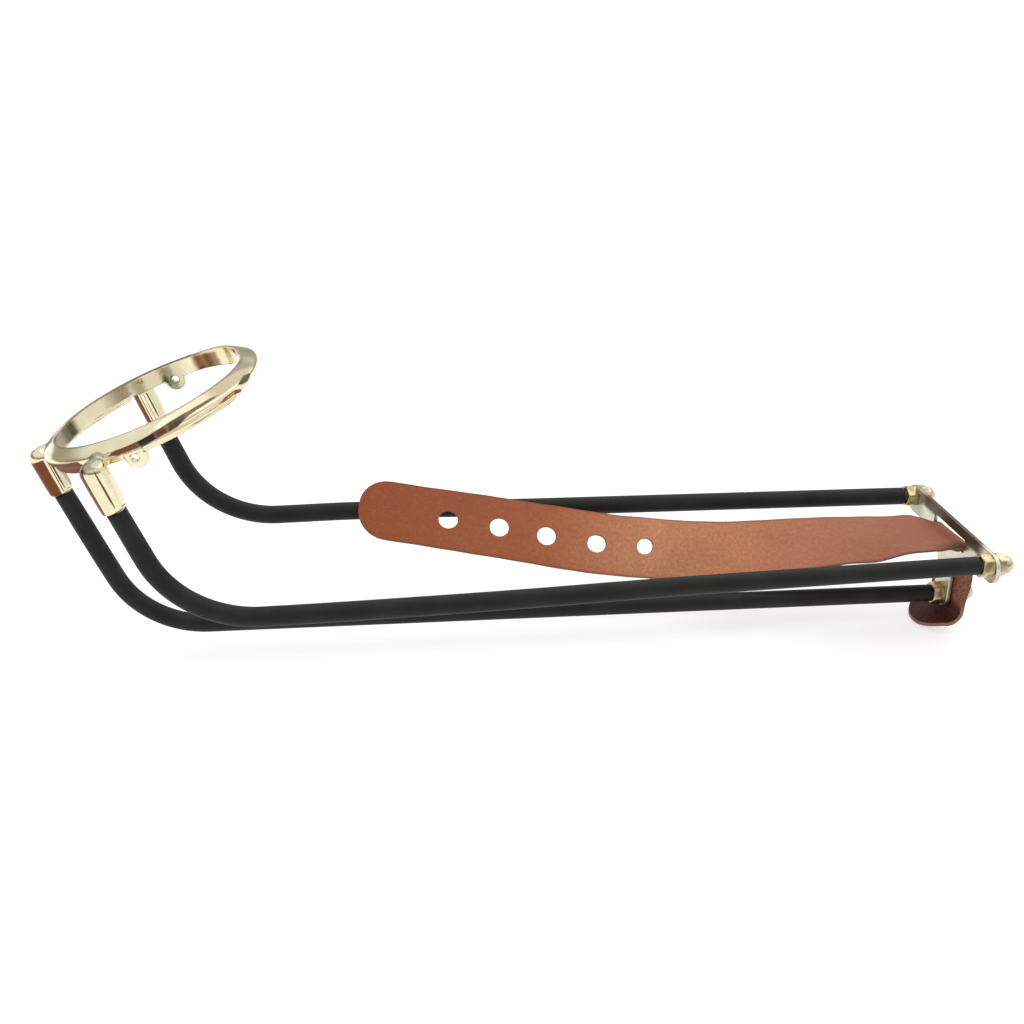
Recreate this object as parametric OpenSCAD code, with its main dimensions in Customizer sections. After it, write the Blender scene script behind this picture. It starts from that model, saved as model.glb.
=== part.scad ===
// Pocket ball rail for a billiard table: a cast ring that hangs under the pocket,
// three rubber-covered steel rails that carry the potted ball away, a pressed end
// plate that stops it, and the leather strap that hangs the end from the table.
// Origin: middle of the line through the ring's two screw lugs. +X runs along the
// rails towards the end plate, +Z is up. Sizes are in millimetres.

/* [Pocket ring] */
// Inside diameter of the ring, which the ball drops through
ring_d = 82.6; // [76:0.2:92]
// Height of the ring's straight inner wall
ring_h = 8.2; // [7:0.2:9]
// How far the rounded outer moulding stands out from the inner wall
ring_bulge = 6.6; // [6:0.2:8]
// Angle between the ring's axis and the vertical
ring_tilt = 22; // [16:1:28]
// Height of the ring's top face above the lug screws
lug_drop = 8.5; // [7.5:0.1:9.5]
// Width of a screw lug
lug_w = 9; // [7:0.1:10]
// Thickness of a screw lug
lug_t = 3.3; // [2.5:0.1:4]
// Screw hole in a lug
lug_hole_d = 3; // [2.5:0.1:4]
// Angle by which the line of lugs is turned from square to the rails
lug_skew = 3; // [0:1:6]

/* [Rod sockets] */
// Outside diameter of a socket
socket_d = 11.3; // [10:0.1:13]
// Length of a socket from its mouth to the top of its dome
socket_len = 21; // [18:0.5:26]
// Depth of a socket's hole
socket_depth = 14; // [10:0.5:15]
// Distance from the lug screws down to the socket mouths
socket_drop = 16; // [14:0.5:18]
// Angle between the lower socket and each side socket, round the ring
socket_angle = 71; // [64:1:78]

/* [Rails] */
// Diameter of the steel rods
rod_d = 6; // [5:0.1:6.6]
// Outside diameter of the rubber sleeves
sleeve_d = 9; // [8.4:0.1:10.5]
// Distance from the lug line to the inner face of the end plate
rail_len = 367.3; // [330:1:420]
// Drop from the lug line to the axis of the lower rail
rail_drop = 102.7; // [96:0.5:110]
// Height of the side rails above the lower rail at the end plate
side_rise = 35.9; // [32:0.1:40]
// Distance of each side rail from the middle at the end plate
side_half = 38.7; // [35:0.1:43]
// Length of a side rail's leg from its socket to the corner of its bend
side_leg = 54.8; // [50:0.2:60]
// Bend radius of the lower rod's axis
low_bend_r = 41; // [34:1:46]
// Bend radius of the side rods' axes
side_bend_r = 46; // [38:1:50]

/* [End plate] */
// Thickness of the plate
plate_t = 2; // [1.5:0.1:3]
// Radius of the rounded lobes round the rod holes
lobe_r = 6.6; // [6.2:0.1:9]
// Height of the slot that the strap passes through
slot_h = 6.6; // [5:0.1:8]
// Width of the bar above the slot
bar_w = 6; // [4:0.1:7]
// Depth of the plate's web below the side holes
web_drop = 11.6; // [11:0.1:14]
// Radius between the web and the stem that runs down to the lower hole
fillet_r = 16; // [10:0.5:18]

/* [Nuts] */
// Width across the flats of all six nuts
nut_af = 10; // [9:0.5:11]
// Thickness of a jam nut
nut_h = 5; // [4:0.1:6]
// Overall height of a dome nut
dome_nut_h = 9; // [8:0.1:12]
// Height of a dome nut's hexagon
dome_hex_h = 3; // [2.5:0.1:4]
// Diameter of a dome nut's dome
dome_d = 9; // [8:0.1:9.5]

/* [Strap] */
// Width of the leather strap
strap_w = 30; // [24:0.5:32]
// Thickness of the leather
strap_t = 3; // [2:0.1:3.5]
// Diameter of the punched holes
hole_d = 9.6; // [8:0.1:11]
// Distance from hole to hole
hole_pitch = 24.8; // [20:0.2:28]
// Distance from the strap's tip to the first hole
tip_len = 45; // [30:1:60]
// Length of the flat part past the last hole
flat_past_hole = 8; // [7:1:16]
// Distance from the end plate to where the strap crosses the left rail
strap_cross = 271; // [262:1:280]
// Distance from the strap's tip to where it crosses the left rail
tip_to_cross = 15; // [10:1:25]
// Angle between the strap and the left rail where it crosses
strap_skew = 11; // [8:0.5:13]
// Lean of the strap's face from the vertical, against the left rail
strap_lean = 33.2; // [26:0.2:40]
// Reach of the strap's tongue inwards under the lower nut
tongue_len = 14; // [13:1:24]

/* [Hidden] */
$fn = 64;

// Clearances
gap = 0.3;            // between pieces that only lie beside each other
fit = 0.1;            // on the diameter of a bore over its rod
slot_play = 1;        // slot wider than the strap

// Ring, in its own frame: z = 0 at the lug screws, tilted about Y
ring_r = ring_d / 2;
ring_top = lug_drop;
ring_bottom = ring_top - ring_h;
edge_cut = 0.3;                       // bevel of the inner top edge
crown_w = 1.2;                        // land between that edge and the moulding
crown_h = 4.0;                        // from the moulding's widest line up to its top
turn_under = 55;                      // how far round the moulding curls underneath
lip_r = ring_r + ring_bulge - 1.9;    // outer face of the lip below the moulding
lip_t = 1.8;
lip_bottom = ring_bottom + 0.2;
lip_from = 95;                        // the lip's stretch, from the lower socket round
lip_to = 148;
lug_face = ring_r - 0.4;              // lug's flat inner face, from the ring's axis
socket_sink = 1.0;                    // socket wall sunk into the moulding
socket_ring_r = ring_r + ring_bulge + socket_d / 2 - socket_sink;
socket_top = socket_len - socket_drop;
dome_round = 3;
mouth_cut = 0.8;
neck_d = 6.4;
down = [sin(ring_tilt), 0, -cos(ring_tilt)];

// Rails
rod_clear = 0.5;                      // end of a rod short of the bottom of its socket
stud_d = rod_d - 0.2;                 // over the threads of a rod's end
stud_root = 1;                        // stud's root inside the rod
bend_lap = 0.5;                       // straight length carried into a bend
bend_more = 0.1;                      // on the diameter of a bend
sleeve_end = rail_len - nut_h - gap;
low_z = -rail_drop;
side_z = low_z + side_rise;
low_mouth = ring_point(180);
low_corner = low_mouth + down * (low_mouth[2] - low_z) / cos(ring_tilt);
low_end = [sleeve_end, 0, low_z];

// Nuts, plate and studs
nut_corner_d = nut_af / cos(30);
nut_cut = 0.6;                        // bevel of a nut's corners
dome_bore = dome_nut_h - 2;
plate_hole_d = rod_d + 0.6;
slot_w = strap_w + slot_play;
slot_top = side_z + lobe_r - bar_w;
slot_bottom = slot_top - slot_h;
outer_face = rail_len + plate_t;
ear_r = web_drop - 4;                 // rounding of the web's outer lower corners
lap = 0.01;                           // overlap of shapes that are joined into one piece

// Strap: hinge line just inside the slot, flat tail laid across the left rail
lay = 0.15;                           // leather to the plate it bears on
fold_r = 0.4;                         // inside radius of the folds round the plate's edges
half_t = strap_t / 2;
hinge_x = rail_len - gap - half_t;
hinge_z = slot_bottom + lay + half_t;
knuckle_gap = half_t + gap;           // from the hinge line to the swinging part
tongue_z = low_z - lobe_r - lay;      // upper face of the tongue
tongue_round = 12;
tail_round = 11;
rail_left = run_dir(1);
lean_up = [0, sin(strap_lean), cos(strap_lean)];
across0 = unit(lean_up - rail_left * (lean_up * rail_left));
face = cross(rail_left, across0);
tail_dir = rail_left * cos(strap_skew) - across0 * sin(strap_skew);
tail_across = across0 * cos(strap_skew) + rail_left * sin(strap_skew);
cross_at = side_point(1, rail_len - strap_cross) + face * (sleeve_d / 2 + gap + half_t);
first_hole = cross_at + tail_dir * (tip_len - tip_to_cross);
tail_end = 4 * hole_pitch + flat_past_hole;
twist_from = first_hole + tail_dir * tail_end;
twist_to = [hinge_x - knuckle_gap, 0, hinge_z];
flat_at_slot = 12;                    // flat stretch of the strap next to the slot
twist_arch = 13;                      // angle at which the strap comes down to the slot
twist_steps = 24;

function unit(v) = v / norm(v);

// A point of the ring's own frame, in the part's frame
function tilted(p) = [p[0] * cos(ring_tilt) - p[2] * sin(ring_tilt), p[1],
                      p[0] * sin(ring_tilt) + p[2] * cos(ring_tilt)];

// Middle of a socket's mouth, by its angle round the ring
function ring_point(angle) =
    tilted([socket_ring_r * cos(angle), socket_ring_r * sin(angle), -socket_drop]);

function side_mouth(side) = ring_point(side * (180 - socket_angle));
function side_corner(side) = side_mouth(side) + down * side_leg;
function side_end(side) = [sleeve_end, side * side_half, side_z];
function run_dir(side) = unit(side_end(side) - side_corner(side));

// Point of a side rail's axis at a given X
function side_point(side, x) =
    side_corner(side) + run_dir(side) * (x - side_corner(side)[0]) / run_dir(side)[0];

// Places children with their X, Y and Z axes along x, y and z at the point o
module placed(x, y, z, o) {
    multmatrix([[x[0], y[0], z[0], o[0]],
                [x[1], y[1], z[1], o[1]],
                [x[2], y[2], z[2], o[2]],
                [0, 0, 0, 1]])
    children();
}

// A round bar from a along the unit vector d
module bar(a, d, len, dia) {
    side = unit(cross(d, abs(d[1]) < 0.9 ? [0, 1, 0] : [1, 0, 0]));
    placed(side, cross(d, side), d, a)
    cylinder(h = len, d = dia);
}

// A round bar that comes down from a, turns at the corner c and goes on to b. The
// straight ends run a little way into the bend, which is a hair thicker.
module bent_bar(a, c, b, bend_r, dia, over_a = 0, over_b = 0) {
    d1 = unit(c - a);
    d2 = unit(b - c);
    turn = acos(d1 * d2);
    back = bend_r * tan(turn / 2);
    inward = unit(d2 - d1 * (d1 * d2));
    bar(a - d1 * over_a, d1, norm(c - a) - back + over_a + bend_lap, dia);
    placed(-inward, d1, cross(-inward, d1), c - d1 * back + inward * bend_r)
    rotate_extrude(angle = turn, $fn = 96)
    translate([bend_r, 0])
    circle(d = dia + bend_more, $fn = 48);
    bar(c + d2 * (back - bend_lap), d2, norm(b - c) - back + over_b + bend_lap, dia);
}

// A steel rod: up into its socket, down, round the bend, along, and a threaded stud
module rod(mouth, corner, end, bend_r, stud_end) {
    bent_bar(mouth, corner, end, bend_r, rod_d, socket_depth - rod_clear);
    bar(end - [stud_root, 0, 0], [1, 0, 0], stud_end - end[0] + stud_root, stud_d);
}

// A rubber sleeve on such a rod
module sleeve(mouth, corner, end, bend_r) {
    start = mouth + down * gap;
    difference() {
        bent_bar(start, corner, end, bend_r, sleeve_d);
        bent_bar(start, corner, end, bend_r, rod_d + fit, 1, 1);
    }
}

module socket(angle) {
    rotate([0, 0, angle]) {
        translate([socket_ring_r, 0, 0])
        rotate_extrude()
        polygon(concat(
            [[0, -socket_drop],
             [socket_d / 2 - mouth_cut, -socket_drop],
             [socket_d / 2, -socket_drop + mouth_cut]],
            [for (a = [0:15:90])
                [socket_d / 2 - dome_round * (1 - cos(a)),
                 socket_top - dome_round * (1 - sin(a))]],
            [[0, socket_top]]));
        // Neck that joins it to the moulding
        translate([ring_r + ring_bulge - 4, 0, socket_top - neck_d / 2 - 0.2])
        rotate([0, 90, 0])
        cylinder(h = socket_d / 2 + 4, d = neck_d);
    }
}

// A screw lug: a flat tongue up the ring's inner wall, rounded below its screw hole
module lug(angle) {
    rotate([0, 0, angle])
    translate([lug_face, 0, 0])
    rotate([90, 0, 90])
    linear_extrude(height = lug_t) {
        circle(d = lug_w);
        translate([-lug_w / 2, 0])
        square([lug_w, ring_top - 1.2]);
    }
}

module lip(angle) {
    rotate([0, 0, angle])
    rotate_extrude(angle = lip_to - lip_from, $fn = 128)
    translate([lip_r - lip_t, lip_bottom])
    square([lip_t, ring_bottom - lip_bottom + 2]);
}

module pocket_ring() {
    bulge_a = ring_bulge - crown_w;
    color([0.83, 0.72, 0.50])
    rotate([0, -ring_tilt, 0])
    difference() {
        union() {
            rotate_extrude($fn = 128)
            polygon(concat(
                [[ring_r, ring_bottom],
                 [ring_r, ring_top - edge_cut],
                 [ring_r + edge_cut, ring_top]],
                [for (a = [90:-15:-turn_under])
                    [ring_r + crown_w + bulge_a * cos(a),
                     ring_top - crown_h + crown_h * sin(a)]],
                [[ring_r + crown_w + 1, ring_bottom]]));
            lip(180 - lip_to);
            lip(180 + lip_from);
            lug(90 - lug_skew);
            lug(270 - lug_skew);
            socket(180);
            socket(180 - socket_angle);
            socket(180 + socket_angle);
        }
        // Holes for the rods
        for (a = [180, 180 - socket_angle, 180 + socket_angle])
            rotate([0, 0, a])
            translate([socket_ring_r, 0, -socket_drop - 1])
            cylinder(h = socket_depth + 1, d = rod_d + fit);
        // Screw holes, in line across the ring
        rotate([0, 0, -lug_skew])
        rotate([90, 0, 0])
        cylinder(h = ring_d + 20, d = lug_hole_d, center = true);
        // A small pit left by the casting
        rotate([0, 0, 103])
        translate([ring_r - 1, 0, ring_top - 4])
        rotate([0, 90, 0])
        cylinder(h = 1.6, d = 1.5);
    }
}

module lower_rod() {
    color([0.62, 0.60, 0.56])
    rod(low_mouth, low_corner, low_end, low_bend_r,
        outer_face + lay + strap_t + dome_bore - rod_clear);
}

module side_rod(side) {
    color([0.62, 0.60, 0.56])
    rod(side_mouth(side), side_corner(side), side_end(side), side_bend_r,
        outer_face + dome_bore - rod_clear);
}

module lower_sleeve() {
    color([0.14, 0.14, 0.14])
    sleeve(low_mouth, low_corner, low_end, low_bend_r);
}

module side_sleeve(side) {
    color([0.14, 0.14, 0.14])
    sleeve(side_mouth(side), side_corner(side), side_end(side), side_bend_r);
}

function arc(c, r, from, to) =
    [for (i = [0:10]) c + r * [cos(from + (to - from) * i / 10), sin(from + (to - from) * i / 10)]];

module end_plate() {
    web_z = side_z - web_drop;
    ear_mid = side_half + lobe_r - ear_r;
    // Right half of the outline, from the top edge round to the lower lobe
    half = concat(
        arc([side_half, side_z], lobe_r, 90, 0),
        arc([ear_mid, web_z + ear_r], ear_r, 0, -90),
        arc([lobe_r + fillet_r, web_z - fillet_r], fillet_r, 90, 180),
        arc([0, low_z], lobe_r, 0, -80));
    color([0.74, 0.70, 0.58])
    translate([rail_len, 0, 0])
    rotate([90, 0, 90])
    linear_extrude(height = plate_t)
    difference() {
        polygon(concat(half, [for (i = [len(half) - 1:-1:0]) [-half[i][0], half[i][1]]]));
        for (side = [-1, 1])
            translate([side * side_half, side_z])
            circle(d = plate_hole_d);
        translate([0, low_z])
        circle(d = plate_hole_d);
        // Slot for the strap
        translate([-slot_w / 2, slot_bottom])
        square([slot_w, slot_h]);
    }
}

// Hexagon nut with bevelled corners, standing on z = 0
module hex_body(h) {
    intersection() {
        cylinder(h = h, d = nut_corner_d, $fn = 6);
        rotate_extrude()
        polygon([[0, 0], [nut_corner_d / 2 - nut_cut, 0],
                 [nut_corner_d / 2, nut_cut / 2],
                 [nut_corner_d / 2, h - nut_cut / 2],
                 [nut_corner_d / 2 - nut_cut, h], [0, h]]);
    }
}

module jam_nut(y, z) {
    color([0.80, 0.70, 0.42])
    translate([rail_len - nut_h, y, z])
    rotate([0, 90, 0])
    difference() {
        hex_body(nut_h);
        translate([0, 0, -1])
        cylinder(h = nut_h + 2, d = rod_d + fit);
    }
}

module dome_nut(x, y, z) {
    straight = dome_nut_h - dome_d / 2 - 0.4;
    color([0.82, 0.76, 0.58])
    translate([x, y, z])
    rotate([0, 90, 0])
    difference() {
        union() {
            hex_body(dome_hex_h);
            rotate_extrude()
            polygon(concat([[0, dome_hex_h - 0.5], [dome_d / 2, dome_hex_h - 0.5]],
                [for (a = [0:10:90])
                    [dome_d / 2 * cos(a),
                     straight + (dome_nut_h - straight) * sin(a)]]));
        }
        translate([0, 0, -1])
        cylinder(h = dome_bore + 1, d = rod_d + fit);
    }
}

// The strap's fixed end: through the slot, down the plate's outer face, under the
// lower stud's dome nut, and back inwards as a rounded tongue
module strap_anchor() {
    out = outer_face + lay;
    drop_top = slot_bottom - fold_r + lay;
    drop_end = tongue_z + fold_r;
    color([0.63, 0.40, 0.28])
    difference() {
        union() {
            // Rounded edge at the hinge line, and the flat run through the slot
            translate([hinge_x, strap_w / 2, hinge_z])
            rotate([90, 0, 0])
            cylinder(h = strap_w, d = strap_t);
            translate([hinge_x, -strap_w / 2, hinge_z - half_t])
            cube([out - fold_r - hinge_x + lap, strap_w, strap_t]);
            // Fold over the slot's lower edge
            translate([out - fold_r, strap_w / 2, drop_top])
            rotate([90, 0, 0])
            rotate_extrude(angle = 90)
            translate([fold_r, 0])
            square([strap_t, strap_w]);
            // Run down the outer face
            translate([out, -strap_w / 2, drop_end - lap])
            cube([strap_t, strap_w, drop_top - drop_end + 2 * lap]);
            // Fold under the plate's lower end
            translate([out - fold_r, strap_w / 2, drop_end])
            rotate([90, 0, 0])
            rotate([0, 0, -90])
            rotate_extrude(angle = 90)
            translate([fold_r, 0])
            square([strap_t, strap_w]);
            // Tongue
            translate([0, 0, tongue_z - strap_t])
            linear_extrude(height = strap_t)
            difference() {
                translate([outer_face - tongue_len, -strap_w / 2])
                square([out - fold_r - outer_face + tongue_len + lap, strap_w]);
                for (side = [-1, 1])
                    translate([outer_face - tongue_len, side * strap_w / 2])
                    scale([1, -side])
                    corner_off(tongue_round);
            }
        }
        // Hole for the lower stud
        translate([outer_face - 1, 0, low_z])
        rotate([0, 90, 0])
        cylinder(h = strap_t + 3, d = plate_hole_d);
    }
}

// The waste of a rounded corner at the origin, towards +X and +Y
module corner_off(r) {
    difference() {
        translate([-1, -1])
        square([r + 1, r + 1]);
        translate([r, r])
        circle(r = r);
    }
}

// The stretch that turns from lying against the left rail to lying flat in the slot
module strap_twist() {
    bend_len = twist_to[0] - flat_at_slot - twist_from[0];
    flat_from = twist_to - [flat_at_slot, 0, 0];
    // Pulls of the curve at its two ends, along the tail and along the slot's side
    from_tail = tail_dir * bend_len * 0.6;
    into_slot = [cos(twist_arch), 0, -sin(twist_arch)] * bend_len * 0.5;
    steps = [for (i = [0:twist_steps]) i / twist_steps];
    mids = concat(
        [for (t = steps)
            twist_from * (1 + 2 * t) * pow(1 - t, 2)
            + from_tail * t * pow(1 - t, 2)
            + flat_from * t * t * (3 - 2 * t)
            - into_slot * t * t * (1 - t)],
        [twist_to]);
    ways = concat(
        [for (t = steps)
            unit(twist_from * 6 * t * (t - 1)
                 + from_tail * (1 - t) * (1 - 3 * t)
                 + flat_from * 6 * t * (1 - t)
                 + into_slot * t * (3 * t - 2))],
        [[1, 0, 0]]);
    // The strap's width turns from tail_across to straight across the plate
    eased = concat([for (t = steps) t * t * (3 - 2 * t)], [1]);
    n = len(mids);
    rims = [for (i = [0:n - 1])
        let (raw = unit(tail_across * (1 - eased[i]) + [0, 1, 0] * eased[i]),
             wide = unit(raw - ways[i] * (raw * ways[i])),
             thick = cross(ways[i], wide))
        [mids[i] - wide * strap_w / 2 - thick * half_t,
         mids[i] + wide * strap_w / 2 - thick * half_t,
         mids[i] + wide * strap_w / 2 + thick * half_t,
         mids[i] - wide * strap_w / 2 + thick * half_t]];
    points = [for (rim = rims) for (p = rim) p];
    sides = [for (i = [0:n - 2]) for (k = [0:3])
        let (a = 4 * i + k, b = 4 * i + (k + 1) % 4)
        for (f = [[a, b + 4, b], [a, a + 4, b + 4]]) f];
    last = 4 * (n - 1);
    ends = [[0, 1, 2], [0, 2, 3],
            [last, last + 2, last + 1], [last, last + 3, last + 2]];
    color([0.67, 0.43, 0.31])
    polyhedron(points = points, faces = concat(sides, ends));
}

// The flat tail with its row of punched holes
module strap_tail() {
    half_w = strap_w / 2;
    color([0.67, 0.43, 0.31])
    placed(tail_dir, tail_across, face, first_hole)
    translate([0, 0, -half_t])
    linear_extrude(height = strap_t)
    difference() {
        translate([-tip_len, -half_w])
        square([tip_len + tail_end, strap_w]);
        for (i = [0:4])
            translate([i * hole_pitch, 0])
            circle(d = hole_d, $fn = 48);
        for (side = [-1, 1])
            translate([-tip_len, side * half_w])
            scale([1, -side])
            corner_off(tail_round);
    }
}

pocket_ring();
lower_rod();
side_rod(1);  // left_rod
side_rod(-1);  // right_rod
lower_sleeve();
side_sleeve(1);  // left_sleeve
side_sleeve(-1);  // right_sleeve
end_plate();
jam_nut(0, low_z);  // lower_jam_nut
jam_nut(side_half, side_z);  // left_jam_nut
jam_nut(-side_half, side_z);  // right_jam_nut
dome_nut(outer_face + strap_t + lay, 0, low_z);  // lower_dome_nut
dome_nut(outer_face, side_half, side_z);  // left_dome_nut
dome_nut(outer_face, -side_half, side_z);  // right_dome_nut
strap_anchor();
strap_twist();
strap_tail();
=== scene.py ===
import math

import bpy
import numpy as np
from mathutils import Matrix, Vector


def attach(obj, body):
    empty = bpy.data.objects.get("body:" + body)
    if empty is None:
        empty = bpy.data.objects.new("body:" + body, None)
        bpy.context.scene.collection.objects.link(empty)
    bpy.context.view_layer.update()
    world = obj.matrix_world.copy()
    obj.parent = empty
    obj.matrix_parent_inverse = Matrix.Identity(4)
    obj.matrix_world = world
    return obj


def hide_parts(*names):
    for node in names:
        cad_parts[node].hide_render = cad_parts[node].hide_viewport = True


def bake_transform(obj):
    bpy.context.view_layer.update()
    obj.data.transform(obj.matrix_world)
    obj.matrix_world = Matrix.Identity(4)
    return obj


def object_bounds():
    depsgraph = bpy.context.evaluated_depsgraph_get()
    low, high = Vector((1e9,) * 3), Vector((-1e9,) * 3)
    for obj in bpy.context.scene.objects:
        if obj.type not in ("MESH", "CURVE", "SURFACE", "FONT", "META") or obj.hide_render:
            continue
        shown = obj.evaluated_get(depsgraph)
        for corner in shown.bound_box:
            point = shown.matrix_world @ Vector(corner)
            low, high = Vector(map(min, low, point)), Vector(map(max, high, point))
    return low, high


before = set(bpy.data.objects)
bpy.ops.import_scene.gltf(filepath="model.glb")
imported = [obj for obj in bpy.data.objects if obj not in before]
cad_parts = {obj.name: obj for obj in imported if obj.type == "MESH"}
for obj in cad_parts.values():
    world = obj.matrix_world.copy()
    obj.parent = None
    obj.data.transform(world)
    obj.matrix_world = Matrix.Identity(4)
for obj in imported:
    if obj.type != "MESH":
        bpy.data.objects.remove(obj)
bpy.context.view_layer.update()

# ---------------------------------------------------------------------------
# Pocket ring: one polished casting, pale gold, that hangs under the pocket.
# Its rounded moulding, three rod sockets, two screw lugs and the thin lip under
# the moulding run into each other with small fillets, as cast.

MM = 0.001
RING_TILT = math.radians(22)
# In mm in the ring's own frame, where z is 0 at the lug screws
INNER_R, LAND_R, TOP_Z = 41.3, 42.7, 9.0
BELLY_R, BELLY_Z, BELLY_OUT = 42.5, 4.9, 5.8
FACE_SLOPE = math.radians(28)
BAND_R, BAND_Z, SKIRT_R = 42.8, 3.5, 45.4
LUG_R, LUG_HALF_W, LUG_HALF_T, LUG_TOP, SCREW_R = 42.3, 4.5, 1.9, 6.5, 1.5
SOCKET_R, SOCKET_MOUTH, SOCKET_TOP, SOCKET_ROUND = 52.5, -16.0, 5.8, 4.2
BORE_R, BORE_TOP, NECK_R = 3.05, -2.0, 48.5
# Bearings round the ring, in degrees from +X: lower, left and right socket
SOCKETS = (180.0, 108.0, 251.0)
# Each lug's bearing, how far its rounding is sunk, and its hole's height and slip
LUGS = ((88.0, -0.4, 0.9, 0.3), (267.4, 1.0, -1.0, 0.7))
# Each stretch of the skirt and lip, mirrored to both sides: middle and half width in
# degrees from the lower socket, lower edge, and fillet to the moulding
SKIRTS = ((36.0, 27.0, -0.6, 0.8), (121.0, 28.0, 0.3, 0.3), (77.0, 5.5, 0.3, 0.3))
PIT_BEARING, PIT_Z, PIT_R = 107.5, 6.7, 0.8


def length(*parts):
    return np.sqrt(sum(part * part for part in parts))


def join(a, b, fillet):
    """Two solids' distances as one solid, with a fillet where they meet."""
    share = np.clip(0.5 + 0.5 * (b - a) / fillet, 0, 1)
    return b * (1 - share) + a * share - fillet * share * (1 - share)


def trim(a, b, rounding):
    """What lies in both solids, with the edge between them rounded."""
    return -join(-a, -b, rounding)


def heading_to(angle):
    """Direction of a bearing in degrees."""
    return math.cos(math.radians(angle)), math.sin(math.radians(angle))


def moulding(r, z, turn, raised):
    """A narrow flat land round the inside, a sloping face and a round belly."""
    # The belly is shallower over the lip, so that the lip shows under it
    high = np.where(z < BELLY_Z, np.interp(turn, (58, 62, 146, 152), (4.2, 3.0, 3.0, 5.0)), 4.2)
    u, v = np.maximum(r - BELLY_R, 0) / BELLY_OUT, (z - BELLY_Z) / high
    k = np.maximum(length(u, v), 1e-6)
    belly = (k - 1) * k / np.maximum(length(u / BELLY_OUT, v / high), 1e-6)
    face = (r - LAND_R) * math.sin(FACE_SLOPE) + (z - TOP_Z - raised) * math.cos(FACE_SLOPE)
    body = trim(belly - raised, face, 1.2)
    body = trim(body, z - TOP_Z - raised, 0.08)
    return join(body, trim(np.abs(r - BAND_R) - 1.7, np.abs(z - BAND_Z) - 2.4, 0.4), 0.4)


def with_lug(body, x, y, z, angle, sunk, drilled, slip):
    """Adds a screw lug, flush with the inner wall, and its hole."""
    ex, ey = heading_to(angle)
    out, along = x * ex + y * ey, y * ex - x * ey
    tongue = np.where(z < -sunk, length(along, z + sunk), np.abs(along)) - LUG_HALF_W
    tongue = trim(trim(tongue, z - LUG_TOP, 1.0), np.abs(out - LUG_R) - LUG_HALF_T, 0.5)
    # Only on the lug's own side of the ring
    hole = np.where(out > 30, length(along + slip, z - drilled) - SCREW_R, 9.0)
    return trim(join(body, tongue, 1.6), -hole, 0.35)


def with_socket(body, x, y, z, angle):
    """Adds a rod socket with a domed top, a taper to its mouth and a thick neck."""
    ex, ey = heading_to(angle)
    leaned = x + 0.05 * np.maximum(5 - z, 0)
    out, along = leaned * ex + y * ey, y * ex - leaned * ey
    wall = length(out - SOCKET_R, along) - ((5.4 if angle < 150 else 5.6) + 0.018 * (z - 5))
    q, w = wall + SOCKET_ROUND, z - (SOCKET_TOP - SOCKET_ROUND)
    socket = (np.minimum(np.maximum(q, w), 0)
              + length(np.maximum(q, 0), np.maximum(w, 0)) - SOCKET_ROUND)
    socket = trim(socket, SOCKET_MOUTH - z, 2.2)
    neck = trim(length(along, z - 3.0) - 3.2, np.abs(out - NECK_R) - 4.4, 0.8)
    body = join(body, join(socket, neck, 0.8), 0.8)
    return trim(body, -np.maximum(length(out - 52.3, along) - BORE_R, z - BORE_TOP), 0.25)


def ring_solid(x, y, z):
    """Distance in mm from the casting's surface, negative inside the metal."""
    r = np.maximum(length(x, y), 1e-6)
    turn = np.degrees(np.arctan2(np.abs(y), -x))
    # The crest is a little uneven, as it was dressed by hand
    bearing = np.arctan2(y, x)
    raised = (1.1 * np.maximum(np.cos(bearing - 0.73), 0) ** 14
              - 0.5 * np.maximum(np.cos(bearing - 0.1), 0) ** 12)
    body = moulding(r, z, turn, raised)
    under = np.interp(turn, (66, 74, 90, 104, 146, 154), (1.6, 0.4, 0.4, 0.8, 0.8, 0.2))
    body = trim(body, under - z, 0.4)
    for middle, half, low, fillet in SKIRTS:
        ends = (np.abs(turn - middle) - half) * r * math.pi / 180
        skirt = trim(np.abs(r - SKIRT_R) - 0.8, np.abs(z - 2 - low) - 2, 0.5)
        body = join(body, trim(skirt, ends, 0.8), fillet)
    for lug in LUGS:
        body = with_lug(body, x, y, z, *lug)
    for angle in SOCKETS:
        body = with_socket(body, x, y, z, angle)
    body = trim(body, INNER_R - r, 0.45)
    # Casting pit in the inner wall
    ex, ey = heading_to(PIT_BEARING)
    pit = length(x - 41.5 * ex, y - 41.5 * ey, z - PIT_Z) - PIT_R
    return trim(body, -pit, 0.3)


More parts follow.
